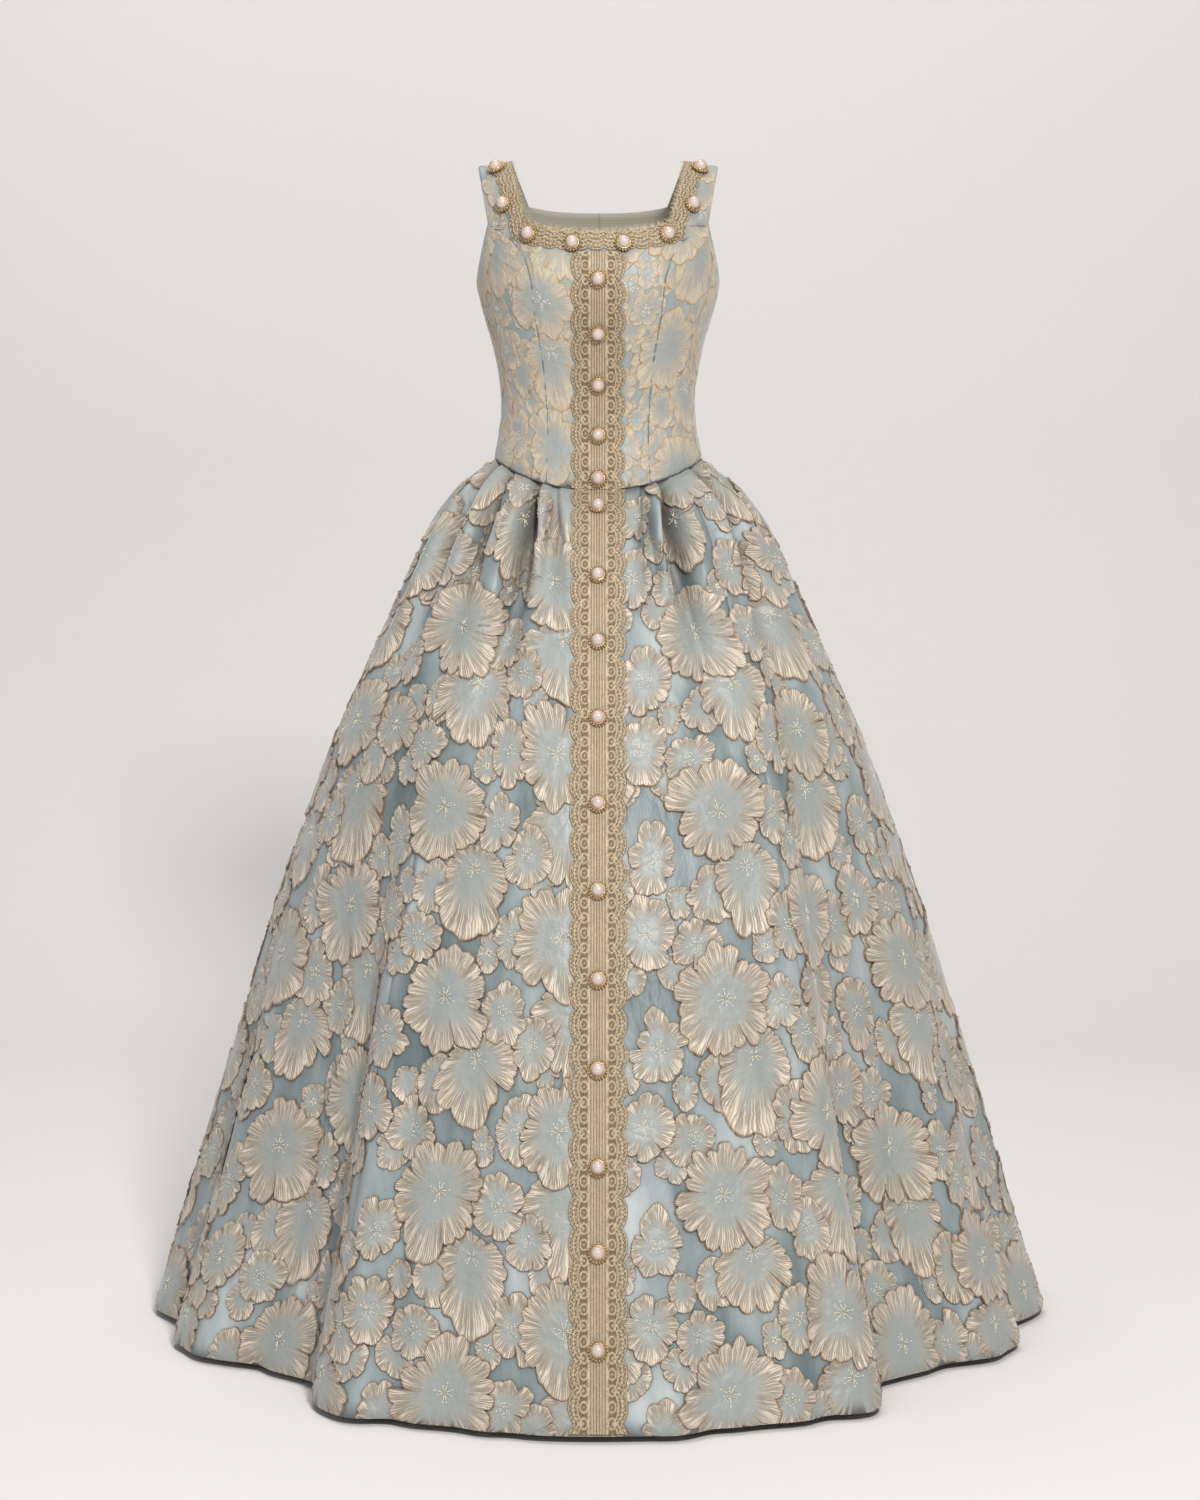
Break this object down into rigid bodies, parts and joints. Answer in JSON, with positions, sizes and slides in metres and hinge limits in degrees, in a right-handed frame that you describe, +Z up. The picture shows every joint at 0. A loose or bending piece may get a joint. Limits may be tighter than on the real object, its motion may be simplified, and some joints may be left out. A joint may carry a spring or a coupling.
{
  "type": "overgown",
  "caption": "Sleeveless square-necked overgown of blue-grey floral cloque brocade, with a fitted bodice, a full pleated floor-length skirt, and lace and pearls down the front.",
  "frame": {"origin": "midway between the undersides of the two straps, where the shoulders hold the garment up", "axes": "+Z up, -Y towards the front of the garment, +X towards the wearer's left"},
  "size_m": [1.0941, 1.1109, 1.3914],
  "materials": {
    "brocade": "satin",
    "lace": "matte",
    "pearl": "gloss"
  },
  "bodies": {
    "root": {"bodice_front_centre_left": "brocade", "bodice_front_centre_right": "brocade", "bodice_front_side_left": "brocade", "bodice_front_side_right": "brocade", "bodice_back_centre_left": "brocade", "bodice_back_centre_right": "brocade", "bodice_back_side_left": "brocade", "bodice_back_side_right": "brocade", "skirt_front_left": "brocade", "skirt_front_right": "brocade", "skirt_side_left": "brocade", "skirt_side_right": "brocade", "skirt_back_left": "brocade", "skirt_back_right": "brocade", "lace_band_bodice": "lace", "lace_band_skirt": "lace", "lace_neckline": "lace", "pearl_front_01": "pearl", "pearl_front_02": "pearl", "pearl_front_03": "pearl", "pearl_front_04": "pearl", "pearl_front_05": "pearl", "pearl_front_06": "pearl", "pearl_front_07": "pearl", "pearl_front_08": "pearl", "pearl_front_09": "pearl", "pearl_front_10": "pearl", "pearl_front_11": "pearl", "pearl_front_12": "pearl", "pearl_front_13": "pearl", "pearl_front_14": "pearl", "pearl_front_15": "pearl", "pearl_front_16": "pearl", "pearl_neck_left_1": "pearl", "pearl_neck_left_2": "pearl", "pearl_strap_left_1": "pearl", "pearl_strap_left_2": "pearl", "pearl_neck_right_1": "pearl", "pearl_neck_right_2": "pearl", "pearl_strap_right_1": "pearl", "pearl_strap_right_2": "pearl"}
  },
  "joints": []
}
